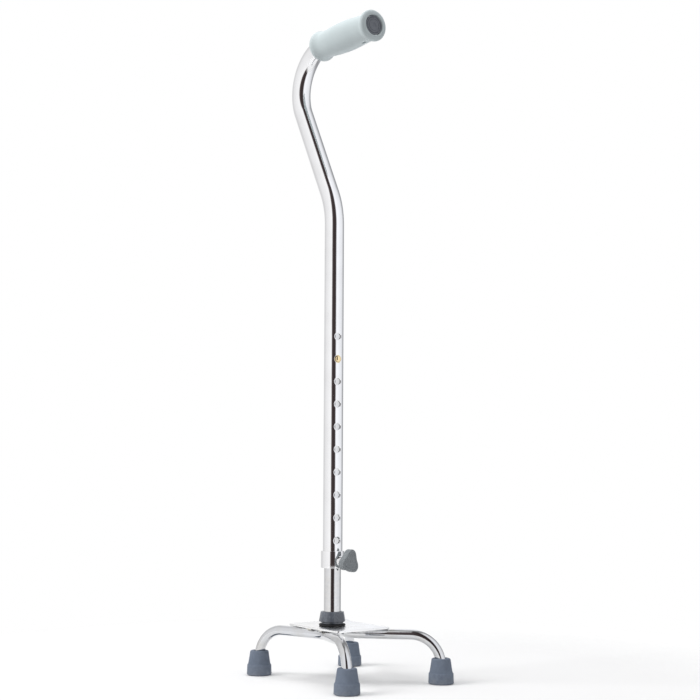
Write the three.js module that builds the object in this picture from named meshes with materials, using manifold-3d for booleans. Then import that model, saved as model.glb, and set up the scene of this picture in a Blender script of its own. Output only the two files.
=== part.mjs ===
// A four-footed walking cane with an offset neck, a telescoping shaft set by a snap button
// and a clamp knob, and a small base of two bent tubes. Millimetres. +X is where the hand
// grip points, +Y is away from the user, +Z is up. The origin is on the floor, midway
// between the four feet.
import * as THREE from 'three';
import { mergeVertices } from 'three/addons/utils/BufferGeometryUtils.js';
import Module from 'manifold-3d';

const wasm = await Module();
wasm.setup();

// Fits
const restGap = 0.3; // where one piece rests on, or is pressed into, another
const slideFit = 0.4; // all round, between the two shaft tubes
const buttonFit = 0.3; // all round, between the snap button and its holes
const threadFit = 0.3; // all round, between a thread and its nut

// Base
const footSpacingX = 169;
const footSpacingY = 128.7;
const shaftFromInnerFeet = 41.5;
const baseHeight = 60.4; // floor to the top of the plate
const plateLength = 95;
const plateWidth = 72;
const plateThickness = 2.2;
const plateOverhang = 27; // from the shaft to the plate's edge on the user's side
const plateCornerRadius = 4;
const legDiameter = 11.2;
const legWall = 1.2;
const legBendRadius = 33;
const innerLegSetback = 14; // from the shaft to the corner where the inner tube's arms meet
const innerLegCornerRadius = 60;
const outerLegSetback = 5;
const outerLegCornerRadius = 36;
const weldSpacing = 24; // between the two beads on a leg tube
const weldLength = 8;
const weldSize = 3.4;
const weldSides = 12;
const weldRings = 8;

// Rubber tips
const tipHeight = 27.3;
const tipBandHeight = 11.8;
const tipBaseDiameter = 28.2;
const tipBandTopDiameter = 27.4;
const tipWaistDiameter = 25.4;
const tipTopDiameter = 20.9;
const tipFloor = 6;
const tipFit = 0.3;
const tipDiscThickness = 1.5;
const tipEdge = 0.8;
const tipSides = 24;

// Shaft tubes
const lowerTubeDiameter = 19;
const lowerTubeWall = 1.2;
const upperTubeWall = 1.2;
const upperTubeEndHeight = 124.9;
const holePitch = 25.4;
const holeCount = 10;
const lowestHoleRise = 30; // from the upper tube's end to its lowest hole
const setHole = 8; // which hole the button is in, counted from 0 at the lowest
const holeDirection = -8; // degrees from +X
const dimpleWidth = 1.1;
const dimpleDepth = 0.3;
const lowerTubeAboveButton = 30;

// Neck and hand grip
const gripAxisHeight = 726.3;
const neckCornerHeight = 532;
const neckAngle = 27.5; // degrees from upright
const neckBendRadius = 85;
const topBendRadius = 50;
const gripReach = 74; // from the shaft's axis to the grip's end face
const gripLength = 107;
const gripFit = 0.3;
const gripEndDiameter = 35.4;
const gripHeelDiameter = 35;
const gripBellyDiameter = 34.4;
const gripWaistDiameter = 30.2;
const slotLength = 6.5;
const slotWidth = 2.4;
const slotFromEnd = 19;
const plugRecess = 1;
const plugHeadThickness = 2.4;
const plugStemLength = 16;
const plugWall = 2;
const plugRingDiameter = 13;
const plugGrooveWidth = 1.4;
const plugGrooveDepth = 0.6;
const plugEdge = 0.5;

// Snap button and its spring
const buttonDiameter = 6.6;
const buttonStandOut = 2.2; // beyond the upper tube
const buttonFlangeRim = 0.9; // how far the flange reaches beyond the button
const buttonFlangeThickness = 1;
const buttonTailDiameter = 2.8;
const buttonTailPast = 0.6; // how far the tail comes through the spring
const buttonSides = 20;
const springWidth = 8;
const springThickness = 0.8;
const springLength = 46;
const springFlat = 8; // above and below the button
const springBendRadius = 2.4;
const glideHeadThickness = 2;
const glideStemLength = 12;

// Clamp collar, screw and knob
const collarHeight = 19;
const collarWall = 1.8;
const collarDrop = 0.4; // below the upper tube's end
const clampDirection = 12; // degrees from +X
const clampDrop = 1.8; // from the collar's middle down to the screw
const bossWall = 2.95; // round the screw's hole
const bossStandOut = 6.6;
const screwDiameter = 6;
const padClearance = 0.2; // all round, smaller than the screw
const padThickness = 1.5;
const knobRadius = 11.8;
const knobLobe = 2.1;
const knobThickness = 8.2;
const knobEdge = 1.1;
const knobTurn = -14; // degrees that the top lobe leans
const knobClearance = 0.6; // between the knob and the boss
const knobSocketDepth = 6.4;
const knobOutlinePoints = 42;

// Foot of the shaft
const bootHeight = 13.2;
const bootTopDiameter = 26;
const bootBaseDiameter = 29.6;
const bootNeckDiameter = 24.4;
const bootNeckHeight = 2;
const bootFloor = 3;
const bootEdge = 0.8;
const bootLedge = 1; // from the neck's top to where the facets start to taper
const bootSides = 12;
const bootWasherDiameter = 29.6;
const bootWasherThickness = 2;
const boltDiameter = 8;
const boltHeadStep = 2.5; // from the thread to the head's flats
const boltHeadHeight = 5;
const insertLength = 24;
const boltShortOfInsert = 2;
const flatWasherRim = 4; // beyond the thread
const flatWasherThickness = 1.2;
const springWasherRim = 2.3; // beyond the thread
const springWasherThickness = 1.8;
const springWasherSlit = 1.4;

// Sides of round shapes
const tubeSides = 32;
const boreSides = 24;
const legSides = 18;
const legBoreSides = 12;
const turnedSides = 28;
const holeSides = 16;
const bendStep = 8; // degrees between the stations of a bend

// Worked out from the sizes above
const radians = THREE.MathUtils.degToRad;
const shaftY = shaftFromInnerFeet - footSpacingY / 2;
const lowerRadius = lowerTubeDiameter / 2;
const lowerBore = lowerRadius - lowerTubeWall;
const upperBore = lowerRadius + slideFit;
const upperRadius = upperBore + upperTubeWall;
const buttonHeight = upperTubeEndHeight + lowestHoleRise + setHole * holePitch;
const buttonHoleRadius = buttonDiameter / 2 + buttonFit;
const buttonFlangeRadius = buttonDiameter / 2 + buttonFlangeRim;
const plateUnderside = baseHeight - plateThickness;
const legRadius = legDiameter / 2;
const legAxisHeight = plateUnderside - restGap - legRadius;
const legEndHeight = tipFloor + tipDiscThickness + 2 * restGap;
const washerTop = baseHeight + restGap + bootWasherThickness;
const bootBase = washerTop + restGap;
const lowerTubeEnd = bootBase + bootFloor + restGap;
const lowerTubeTop = buttonHeight + lowerTubeAboveButton;
const collarRadius = upperRadius + restGap + collarWall;
const collarBottom = upperTubeEndHeight - collarDrop;
const clampHeight = collarBottom + collarHeight / 2 - clampDrop;
const gripHeel = gripReach - gripLength;
const plugFace = gripReach - plugRecess;
const upperTubeTip = plugFace - plugHeadThickness - restGap;

// A solid from any closed three.js geometry, with shared vertices merged.
function solidOf(geometry) {
  const bare = geometry.clone();
  bare.deleteAttribute('normal');
  bare.deleteAttribute('uv');
  const merged = mergeVertices(bare, 1e-4);
  const corners = merged.index.array;
  const kept = [];
  for (let i = 0; i < corners.length; i += 3) {
    const [a, b, c] = corners.slice(i, i + 3);
    if (a !== b && b !== c && c !== a) kept.push(a, b, c);
  }
  const vertProperties = new Float32Array(merged.attributes.position.array);
  const triVerts = new Uint32Array(kept);
  return new wasm.Manifold(new wasm.Mesh({ numProp: 3, vertProperties, triVerts }));
}

function geometryOf(solid) {
  const { vertProperties, triVerts } = solid.getMesh();
  const geometry = new THREE.BufferGeometry();
  geometry.setAttribute('position', new THREE.BufferAttribute(vertProperties, 3));
  geometry.setIndex(new THREE.BufferAttribute(triVerts, 1));
  geometry.computeVertexNormals();
  return geometry;
}

// A turned piece about Z. Each profile point is [radius, height], anticlockwise.
function turned(profile, sides = turnedSides) {
  const points = profile.map(([radius, height]) => new THREE.Vector2(radius, height));
  return solidOf(new THREE.LatheGeometry(points, sides).rotateX(Math.PI / 2));
}

function disc(radius, bottom, top, sides = turnedSides) {
  return turned([[0, bottom], [radius, bottom], [radius, top], [0, top]], sides);
}

function ring(bore, radius, bottom, top, sides = turnedSides) {
  const profile = [[bore, bottom], [radius, bottom], [radius, top], [bore, top], [bore, bottom]];
  return turned(profile, sides);
}

function box(length, width, height, centre) {
  return solidOf(new THREE.BoxGeometry(length, width, height).translate(...centre));
}

// Lays a piece that was turned about Z along +X.
function alongX(solid) {
  return solid.rotate([0, 90, 0]);
}

// A tube's route: straight runs between corners, each corner rounded to its own radius.
// Stations lie only at the ends and through the bends.
class BentRoute extends THREE.Curve {
  constructor(corners, radii) {
    super();
    this.stations = [];
    this.headings = [];
    const last = corners.length - 1;
    this.addStation(corners[0], corners[1].clone().sub(corners[0]));
    for (let i = 1; i < last; i += 1) {
      this.addBend(corners[i - 1], corners[i], corners[i + 1], radii[i - 1]);
    }
    this.addStation(corners[last], corners[last].clone().sub(corners[last - 1]));
  }

  addStation(point, heading) {
    this.stations.push(point.clone());
    this.headings.push(heading.clone().normalize());
  }

  addBend(before, corner, after, radius) {
    const incoming = corner.clone().sub(before).normalize();
    const outgoing = after.clone().sub(corner).normalize();
    const turn = incoming.angleTo(outgoing);
    const start = corner.clone().addScaledVector(incoming, -radius * Math.tan(turn / 2));
    const axis = incoming.clone().cross(outgoing).normalize();
    const inward = axis.clone().cross(incoming);
    const centre = start.clone().addScaledVector(inward, radius);
    const steps = Math.ceil(turn / radians(bendStep));
    for (let i = 0; i <= steps; i += 1) {
      const angle = (turn * i) / steps;
      const spoke = start.clone().sub(centre).applyAxisAngle(axis, angle);
      this.addStation(spoke.add(centre), incoming.clone().applyAxisAngle(axis, angle));
    }
  }

  get steps() {
    return this.stations.length - 1;
  }

  getPointAt(u) {
    return this.stations[Math.round(u * this.steps)].clone();
  }

  getTangentAt(u) {
    return this.headings[Math.round(u * this.steps)].clone();
  }
}

function circle(radius, sides) {
  const points = [];
  for (let i = 0; i < sides; i += 1) {
    const angle = (2 * Math.PI * i) / sides;
    points.push(new THREE.Vector2(radius * Math.cos(angle), radius * Math.sin(angle)));
  }
  return points;
}

function swept(route, radius, sides, bore = 0, boreSegments = sides) {
  const section = new THREE.Shape(circle(radius, sides));
  if (bore > 0) section.holes.push(new THREE.Path(circle(bore, boreSegments)));
  const options = { steps: route.steps, extrudePath: route, bevelEnabled: false };
  return solidOf(new THREE.ExtrudeGeometry(section, options));
}

function finish(colour, roughness, metalness) {
  return new THREE.MeshStandardMaterial({ color: colour, roughness, metalness });
}

const finishes = {
  chrome: () => finish('#d9dde0', 0.12, 1),
  zinc: () => finish('#b9bcc0', 0.35, 1),
  brass: () => finish('#c9a86a', 0.3, 1),
  springSteel: () => finish('#8d9196', 0.35, 1),
  gripPlastic: () => finish('#c8d6d9', 0.55, 0),
  plugPlastic: () => finish('#6e737d', 0.6, 0),
  knobPlastic: () => finish('#767c80', 0.6, 0),
  glidePlastic: () => finish('#3a3c40', 0.5, 0),
  tipRubber: () => finish('#69737f', 0.8, 0),
  bootRubber: () => finish('#5a616d', 0.75, 0),
  blackRubber: () => finish('#24262a', 0.8, 0),
};

function addPart(group, name, solid, material) {
  const mesh = new THREE.Mesh(geometryOf(solid), material);
  mesh.name = name;
  group.add(mesh);
  return mesh;
}

const vec = (x, y, z) => new THREE.Vector3(x, y, z);

// Base: two bent leg tubes under a plate, each foot in a rubber tip.

// The route of a leg tube, from a foot up, along both arms and down to its other foot.
function legRoute(side, setback, cornerRadius, footHeight) {
  const footY = (side * footSpacingY) / 2;
  const meetingY = shaftY + side * setback;
  const corners = [
    vec(-footSpacingX / 2, footY, footHeight),
    vec(-footSpacingX / 2, footY, legAxisHeight),
    vec(0, meetingY, legAxisHeight),
    vec(footSpacingX / 2, footY, legAxisHeight),
    vec(footSpacingX / 2, footY, footHeight),
  ];
  return new BentRoute(corners, [legBendRadius, cornerRadius, legBendRadius]);
}

const legs = {
  inner: { side: -1, setback: innerLegSetback, cornerRadius: innerLegCornerRadius },
  outer: { side: 1, setback: outerLegSetback, cornerRadius: outerLegCornerRadius },
};

function legTube({ side, setback, cornerRadius }) {
  const route = legRoute(side, setback, cornerRadius, legEndHeight);
  return swept(route, legRadius, legSides, legRadius - legWall, legBoreSides);
}

// The leg with its fit all round, to cut what it goes into.
function legCutter({ side, setback, cornerRadius }, fit) {
  return swept(legRoute(side, setback, cornerRadius, tipFloor), legRadius + fit, legSides);
}

// A weld bead under the plate, on the side of a leg's middle bend that faces its feet.
function weldBead({ side, setback, cornerRadius }, end) {
  const footX = footSpacingX / 2;
  const meetingY = shaftY + side * setback;
  const armAngle = Math.atan2((side * footSpacingY) / 2 - meetingY, footX);
  const centreY = meetingY + (side * cornerRadius) / Math.cos(armAngle);
  const turn = Math.asin(weldSpacing / 2 / cornerRadius);
  const reach = cornerRadius - legRadius;
  const bead = new THREE.SphereGeometry(1, weldSides, weldRings);
  bead.scale(weldLength / 2, weldSize / 2, weldSize / 2);
  bead.rotateZ(side * end * turn);
  const x = end * reach * Math.sin(turn);
  const y = centreY - side * reach * Math.cos(turn);
  return solidOf(bead.translate(x, y, plateUnderside - weldSize / 8));
}

function basePlate() {
  const halfX = plateLength / 2 - plateCornerRadius;
  const nearY = shaftY - plateOverhang + plateCornerRadius;
  const farY = nearY + plateWidth - 2 * plateCornerRadius;
  const outline = new THREE.Shape();
  outline.absarc(halfX, farY, plateCornerRadius, 0, Math.PI / 2);
  outline.absarc(-halfX, farY, plateCornerRadius, Math.PI / 2, Math.PI);
  outline.absarc(-halfX, nearY, plateCornerRadius, Math.PI, 1.5 * Math.PI);
  outline.absarc(halfX, nearY, plateCornerRadius, 1.5 * Math.PI, 2 * Math.PI);
  const boltHole = circle(boltDiameter / 2 + threadFit, holeSides);
  outline.holes.push(new THREE.Path(boltHole.map((p) => p.setY(p.y + shaftY))));
  const options = { depth: plateThickness, bevelEnabled: false, curveSegments: 4 };
  let plate = solidOf(new THREE.ExtrudeGeometry(outline, options).translate(0, 0, plateUnderside));
  for (const leg of Object.values(legs)) {
    plate = plate.add(weldBead(leg, 1)).add(weldBead(leg, -1));
    plate = plate.subtract(legCutter(leg, restGap));
  }
  return plate;
}

function rubberTip() {
  const base = tipBaseDiameter / 2;
  const bandTop = tipBandTopDiameter / 2;
  const waist = tipWaistDiameter / 2;
  const top = tipTopDiameter / 2;
  const edge = tipEdge;
  return turned([
    [0, 0],
    [base - edge, 0],
    [base, edge],
    [bandTop, tipBandHeight - edge],
    [bandTop - edge, tipBandHeight],
    [waist, tipBandHeight + edge / 2],
    [top, tipHeight - edge],
    [top - edge, tipHeight],
    [0, tipHeight],
  ], tipSides);
}

function buildBase() {
  const group = new THREE.Group();
  addPart(group, 'base_plate', basePlate(), finishes.chrome());
  for (const [place, leg] of Object.entries(legs)) {
    addPart(group, `leg_tube_${place}`, legTube(leg), finishes.chrome());
    const cutter = legCutter(leg, tipFit);
    for (const [end, direction] of [['front', 1], ['rear', -1]]) {
      const foot = [(direction * footSpacingX) / 2, (leg.side * footSpacingY) / 2];
      const tip = rubberTip().translate([...foot, 0]).subtract(cutter);
      addPart(group, `rubber_tip_${place}_${end}`, tip, finishes.tipRubber());
      const bottom = tipFloor + restGap;
      const plain = disc(legRadius - restGap, bottom, bottom + tipDiscThickness, holeSides);
      const steelDisc = plain.translate([...foot, 0]);
      addPart(group, `tip_disc_${place}_${end}`, steelDisc, finishes.zinc());
    }
  }
  return group;
}

// Foot of the shaft: a boot and washer on the plate, and a bolt up into the lower tube.

function baseBoot() {
  const neck = bootNeckDiameter / 2;
  const shoulder = bootBase + bootNeckHeight;
  const faceted = turned([
    [0, shoulder - bootLedge],
    [neck, shoulder - bootLedge],
    [bootBaseDiameter / 2, shoulder],
    [bootBaseDiameter / 2, shoulder + bootLedge],
    [bootTopDiameter / 2, bootBase + bootHeight - bootEdge],
    [bootTopDiameter / 2 - bootEdge, bootBase + bootHeight],
    [0, bootBase + bootHeight],
  ], bootSides);
  const socket = disc(lowerRadius + restGap, bootBase + bootFloor, bootBase + bootHeight + 1);
  const boltHole = disc(boltDiameter / 2 + threadFit, bootBase - 1, bootBase + bootHeight, holeSides);
  return disc(neck, bootBase, shoulder).add(faceted).subtract(socket).subtract(boltHole);
}

function baseBolt(headTop) {
  const head = new THREE.CylinderGeometry(1, 1, boltHeadHeight, 6).rotateX(Math.PI / 2);
  const corner = (boltDiameter / 2 + boltHeadStep) / Math.cos(Math.PI / 6);
  head.scale(corner, corner, 1).translate(0, 0, headTop - boltHeadHeight / 2);
  const tip = lowerTubeEnd + insertLength - boltShortOfInsert;
  return solidOf(head).add(disc(boltDiameter / 2, headTop - 1, tip, holeSides));
}

function springWasher(bottom) {
  const radius = boltDiameter / 2 + springWasherRim;
  const boltHole = boltDiameter / 2 + threadFit;
  const whole = ring(boltHole, radius, bottom, bottom + springWasherThickness);
  const slit = box(radius * 2, springWasherSlit, springWasherThickness * 3, [radius, 0, bottom]);
  return whole.subtract(slit);
}

function buildShaftFoot() {
  const group = new THREE.Group();
  group.position.y = shaftY;
  const boltHole = boltDiameter / 2 + threadFit;

  addPart(group, 'base_boot', baseBoot(), finishes.bootRubber());
  const washer = ring(boltHole, bootWasherDiameter / 2, baseHeight + restGap, washerTop);
  addPart(group, 'boot_washer', washer, finishes.blackRubber());
  const insertEnd = lowerTubeEnd + insertLength;
  const insert = ring(boltHole, lowerBore - restGap, lowerTubeEnd, insertEnd, boreSides);
  addPart(group, 'tube_insert', insert, finishes.zinc());

  const flatTop = plateUnderside - restGap;
  const flatBottom = flatTop - flatWasherThickness;
  const flatRadius = boltDiameter / 2 + flatWasherRim;
  const flat = ring(boltHole, flatRadius, flatBottom, flatTop, boreSides);
  addPart(group, 'flat_washer', flat, finishes.zinc());
  const springBottom = flatBottom - restGap - springWasherThickness;
  addPart(group, 'spring_washer', springWasher(springBottom), finishes.springSteel());
  addPart(group, 'base_bolt', baseBolt(springBottom - restGap), finishes.zinc());
  return group;
}

// Lower tube, with the snap button, its spring and the plug in its top.

// A round hole through one wall of a tube, on the side that faces +X before it is turned.
function wallCutter(radius, height, direction) {
  const cutter = alongX(disc(radius, 0, collarRadius * 2, holeSides));
  return cutter.rotate([0, 0, direction]).translate([0, 0, height]);
}

function lowerTube() {
  const tube = ring(lowerBore, lowerRadius, lowerTubeEnd, lowerTubeTop, tubeSides);
  return tube.subtract(wallCutter(buttonHoleRadius, buttonHeight, holeDirection));
}

// The button lies along +X, with its place on the shaft's axis at 0.
const flangeFace = Math.sqrt(lowerBore ** 2 - (buttonFlangeRadius) ** 2) - restGap;
const springFace = flangeFace - buttonFlangeThickness - restGap;

function snapButton() {
  const radius = buttonDiameter / 2;
  const tail = buttonTailDiameter / 2;
  const shoulder = upperRadius + buttonStandOut / 3;
  const dome = upperRadius + buttonStandOut;
  const profile = [
    [0, springFace - springThickness - buttonTailPast],
    [tail, springFace - springThickness - buttonTailPast],
    [tail, springFace + restGap],
    [buttonFlangeRadius, springFace + restGap],
    [buttonFlangeRadius, flangeFace],
    [radius, flangeFace],
    [radius, shoulder],
  ];
  for (const degrees of [25, 50, 75]) {
    const angle = radians(degrees);
    const rise = (dome - shoulder) * Math.sin(angle);
    profile.push([radius * Math.cos(angle), shoulder + rise]);
  }
  profile.push([0, dome]);
  return alongX(turned(profile, buttonSides));
}

// A strip's outline, made by moving its middle line half a thickness to each side.
function stripOutline(middle, thickness) {
  const left = [];
  const right = [];
  middle.forEach((point, i) => {
    const before = middle[Math.max(i - 1, 0)];
    const after = middle[Math.min(i + 1, middle.length - 1)];
    const heading = after.clone().sub(before).normalize();
    const across = new THREE.Vector2(-heading.y, heading.x).multiplyScalar(thickness / 2);
    left.push(point.clone().add(across));
    right.unshift(point.clone().sub(across));
  });
  return new THREE.Shape([...right, ...left]);
}

// A V of spring strip: one arm carries the button, the other bears on the far wall.
function buttonSpring() {
  const front = springFace - springThickness / 2;
  const reach = Math.sqrt(lowerBore ** 2 - (springWidth / 2) ** 2) - restGap;
  const bend = springBendRadius;
  const middle = [[front, springFlat], [front, -springFlat]];
  for (let degrees = 0; degrees >= -180; degrees -= 30) {
    const angle = radians(degrees);
    middle.push([bend * Math.cos(angle), -springLength + bend * Math.sin(angle)]);
  }
  middle.push([springThickness / 2 - reach, springFlat]);
  const outline = stripOutline(middle.map(([x, z]) => new THREE.Vector2(x, z)), springThickness);
  const strip = new THREE.ExtrudeGeometry(outline, { depth: springWidth, bevelEnabled: false });
  strip.rotateX(Math.PI / 2).translate(0, springWidth / 2, 0);
  const tailHole = alongX(disc(buttonTailDiameter / 2 + buttonFit, 0, lowerBore, holeSides));
  return solidOf(strip).subtract(tailHole);
}

function tubeGlide() {
  const head = lowerTubeTop + restGap;
  return turned([
    [0, lowerTubeTop - glideStemLength],
    [lowerBore - restGap, lowerTubeTop - glideStemLength],
    [lowerBore - restGap, head],
    [upperBore - restGap, head],
    [upperBore - restGap, head + glideHeadThickness],
    [0, head + glideHeadThickness],
  ]);
}

function buildLowerShaft() {
  const group = new THREE.Group();
  group.position.y = shaftY;
  addPart(group, 'lower_tube', lowerTube(), finishes.chrome());
  addPart(group, 'tube_glide', tubeGlide(), finishes.glidePlastic());

  const buttonGroup = new THREE.Group();
  buttonGroup.position.z = buttonHeight;
  buttonGroup.rotation.z = radians(holeDirection);
  addPart(buttonGroup, 'snap_button', snapButton(), finishes.brass());
  addPart(buttonGroup, 'button_spring', buttonSpring(), finishes.springSteel());
  group.add(buttonGroup);
  return group;
}

// Upper tube, hand grip and the plug in the tube's end.

// The upper tube's route, from its lower end to the given reach along the grip's axis.
function neckRoute(reach) {
  const lean = Math.tan(radians(neckAngle));
  const topCornerX = -(gripAxisHeight - neckCornerHeight) * lean;
  const corners = [
    vec(0, 0, upperTubeEndHeight),
    vec(0, 0, neckCornerHeight),
    vec(topCornerX, 0, gripAxisHeight),
    vec(reach, 0, gripAxisHeight),
  ];
  return new BentRoute(corners, [neckBendRadius, topBendRadius]);
}

// One adjustment hole with the shallow dimple that was pressed around it.
function adjustmentHole(index) {
  const height = upperTubeEndHeight + lowestHoleRise + index * holePitch;
  const hole = wallCutter(buttonHoleRadius, height, holeDirection);
  const dimple = turned([
    [0, upperRadius - dimpleDepth],
    [buttonHoleRadius, upperRadius - dimpleDepth],
    [buttonHoleRadius + dimpleWidth, upperRadius],
    [buttonHoleRadius + dimpleWidth * 2, upperRadius + dimpleDepth],
    [0, upperRadius + dimpleDepth],
  ], holeSides);
  return hole.add(alongX(dimple).rotate([0, 0, holeDirection]).translate([0, 0, height]));
}

function upperTube() {
  let tube = swept(neckRoute(upperTubeTip), upperRadius, tubeSides, upperBore, boreSides);
  for (let i = 0; i < holeCount; i += 1) {
    tube = tube.subtract(adjustmentHole(i));
  }
  const screwHole = screwDiameter / 2 + threadFit;
  return tube.subtract(wallCutter(screwHole, clampHeight, clampDirection));
}

// The grip's outline along its own axis, from its heel to its end face.
function gripOutline() {
  const heel = gripHeelDiameter / 2;
  const waist = gripWaistDiameter / 2;
  const belly = gripBellyDiameter / 2;
  const end = gripEndDiameter / 2;
  const shape = [
    [heel - 5.4, 0],
    [heel - 2.6, 2.2],
    [heel - 0.7, 4.6],
    [heel, 7.4],
    [heel - 0.6, 11],
    [waist + 0.6, 14.6],
    [waist + 0.1, 18],
    [waist + 0.7, 27],
    [belly - 0.4, 42],
    [belly, 56],
    [belly - 0.6, 72],
    [waist + 0.5, gripLength - 19],
    [waist + 0.1, gripLength - 11],
    [end - 0.9, gripLength - 7],
    [end, gripLength - 3.8],
    [end - 0.5, gripLength - 2.2],
    [end - 2.2, gripLength - 0.7],
    [end - 4.6, gripLength],
  ];
  return [[0, 0], ...shape, [0, gripLength]];
}

function handGrip() {
  const body = alongX(turned(gripOutline())).translate([gripHeel, 0, gripAxisHeight]);
  const bore = swept(neckRoute(gripReach + 1), upperRadius + gripFit, turnedSides);
  const below = gripAxisHeight - gripBellyDiameter / 2;
  const slotDepth = gripBellyDiameter / 2 - upperRadius;
  const slot = box(slotLength, slotWidth, slotDepth * 2, [gripReach - slotFromEnd, 0, below]);
  return body.subtract(bore).subtract(slot);
}

function gripEndPlug() {
  const head = upperRadius - restGap;
  const stem = upperBore - restGap;
  const stemEnd = plugFace - plugHeadThickness - plugStemLength;
  const ringRadius = plugRingDiameter / 2;
  const halfGroove = plugGrooveWidth / 2;
  const plug = turned([
    [stem - plugWall, stemEnd],
    [stem, stemEnd],
    [stem, plugFace - plugHeadThickness],
    [head, plugFace - plugHeadThickness],
    [head, plugFace - plugEdge],
    [head - plugEdge, plugFace],
    [ringRadius + halfGroove, plugFace],
    [ringRadius, plugFace - plugGrooveDepth],
    [ringRadius - halfGroove, plugFace],
    [0, plugFace],
    [0, plugFace - plugHeadThickness],
    [stem - plugWall, plugFace - plugHeadThickness],
    [stem - plugWall, stemEnd],
  ], boreSides);
  return alongX(plug).translate([0, 0, gripAxisHeight]);
}

function buildUpperShaft() {
  const group = new THREE.Group();
  group.position.y = shaftY;
  addPart(group, 'upper_tube', upperTube(), finishes.chrome());
  addPart(group, 'hand_grip', handGrip(), finishes.gripPlastic());
  addPart(group, 'grip_end_plug', gripEndPlug(), finishes.plugPlastic());
  return group;
}

// Clamp: a collar on the upper tube's end, and a knob whose screw presses a pad on the
// lower tube. Each piece of it lies along +X before the group is turned.

function lockCollar() {
  const bottom = collarBottom - clampHeight;
  const bore = upperRadius + restGap;
  const collar = ring(bore, collarRadius, bottom, bottom + collarHeight, tubeSides);
  return collar.subtract(wallCutter(screwDiameter / 2 + threadFit, 0, 0));
}

const bossEnd = collarRadius + bossStandOut;
const knobStart = bossEnd + knobClearance;

function clampBoss() {
  const screwHole = screwDiameter / 2 + threadFit;
  const boss = alongX(ring(screwHole, screwHole + bossWall, upperRadius, bossEnd, boreSides));
  const seat = disc(collarRadius + restGap, -collarHeight, collarHeight, tubeSides);
  return boss.subtract(seat);
}

function clampPad() {
  const start = lowerRadius + restGap;
  const radius = screwDiameter / 2 - padClearance;
  return alongX(disc(radius, start, start + padThickness, holeSides));
}

function clampScrew() {
  const start = lowerRadius + padThickness + 2 * restGap;
  const end = knobStart + knobSocketDepth - restGap;
  return alongX(disc(screwDiameter / 2, start, end, holeSides));
}

function clampKnob() {
  const outline = [];
  const inset = knobRadius - knobEdge;
  for (let i = 0; i < knobOutlinePoints; i += 1) {
    const angle = (2 * Math.PI * i) / knobOutlinePoints;
    const radius = inset + knobLobe * Math.cos(3 * angle);
    outline.push(new THREE.Vector2(radius * Math.cos(angle), radius * Math.sin(angle)));
  }
  const knob = new THREE.ExtrudeGeometry(new THREE.Shape(outline), {
    depth: knobThickness - 2 * knobEdge,
    steps: 1,
    bevelEnabled: true,
    bevelThickness: knobEdge,
    bevelSize: knobEdge,
    bevelSegments: 2,
  });
  const upright = Math.PI + radians(knobTurn);
  knob.rotateZ(upright).translate(0, 0, knobStart + knobEdge);
  const socketEnd = knobStart + knobSocketDepth;
  const socket = disc(screwDiameter / 2 + restGap, knobStart - 1, socketEnd, holeSides);
  return alongX(solidOf(knob).subtract(socket));
}

function buildClamp() {
  const group = new THREE.Group();
  group.position.set(0, shaftY, clampHeight);
  group.rotation.z = radians(clampDirection);
  addPart(group, 'lock_collar', lockCollar(), finishes.chrome());
  addPart(group, 'clamp_boss', clampBoss(), finishes.chrome());
  addPart(group, 'clamp_pad', clampPad(), finishes.brass());
  addPart(group, 'clamp_screw', clampScrew(), finishes.zinc());
  addPart(group, 'clamp_knob', clampKnob(), finishes.knobPlastic());
  return group;
}

const cane = new THREE.Group();
cane.name = 'quad_cane';
cane.add(buildBase());
cane.add(buildShaftFoot());
cane.add(buildLowerShaft());
cane.add(buildUpperShaft());
cane.add(buildClamp());

export default cane;
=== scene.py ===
import math
import bpy
from mathutils import Euler, Matrix, Vector


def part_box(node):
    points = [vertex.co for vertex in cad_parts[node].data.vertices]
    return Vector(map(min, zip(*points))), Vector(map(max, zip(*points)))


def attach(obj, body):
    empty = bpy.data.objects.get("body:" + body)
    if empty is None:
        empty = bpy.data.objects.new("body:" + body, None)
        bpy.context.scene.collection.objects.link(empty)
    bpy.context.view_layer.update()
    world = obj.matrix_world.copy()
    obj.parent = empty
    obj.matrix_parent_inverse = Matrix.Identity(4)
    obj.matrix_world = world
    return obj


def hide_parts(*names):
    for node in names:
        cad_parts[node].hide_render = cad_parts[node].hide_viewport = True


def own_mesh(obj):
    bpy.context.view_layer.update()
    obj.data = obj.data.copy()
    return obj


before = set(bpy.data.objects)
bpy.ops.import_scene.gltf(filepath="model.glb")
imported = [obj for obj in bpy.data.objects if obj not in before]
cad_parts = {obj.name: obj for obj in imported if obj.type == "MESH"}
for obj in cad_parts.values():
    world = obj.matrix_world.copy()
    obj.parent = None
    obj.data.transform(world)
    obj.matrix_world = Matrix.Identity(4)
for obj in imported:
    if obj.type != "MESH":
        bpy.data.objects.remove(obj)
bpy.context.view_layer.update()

mm = 0.001
leastPush = 1e-6     # millimetres, below which a tube's last push is left out
print("four-footed cane: CAD frame loaded")

# Places and directions that many pieces share
lowerTubeLow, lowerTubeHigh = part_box("lower_tube")
shaftX = (lowerTubeLow.x + lowerTubeHigh.x) / 2
shaftY = (lowerTubeLow.y + lowerTubeHigh.y) / 2
shaft = Vector((shaftX, shaftY, 0))
legSides = {"inner": -1, "outer": 1}    # the inner leg is on the user's side, towards -Y
legEnds = {"front": 1, "rear": -1}
screwLow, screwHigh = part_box("clamp_screw")
clampHeight = (screwLow.z + screwHigh.z) / 2
boltHole = 4.3       # radius of the hole the base bolt runs in, in millimetres
buttonAngle = math.radians(-8)  # the way the holes and the button face, from +X
clampAngle = math.radians(12)   # the way the clamp knob faces, from +X
buttonFacing = Vector((math.cos(buttonAngle), math.sin(buttonAngle), 0))


def letGo():
    # object mode with nothing selected
    if bpy.context.mode != "OBJECT":
        bpy.ops.object.mode_set(mode="OBJECT")
    bpy.ops.object.select_all(action="DESELECT")


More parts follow.
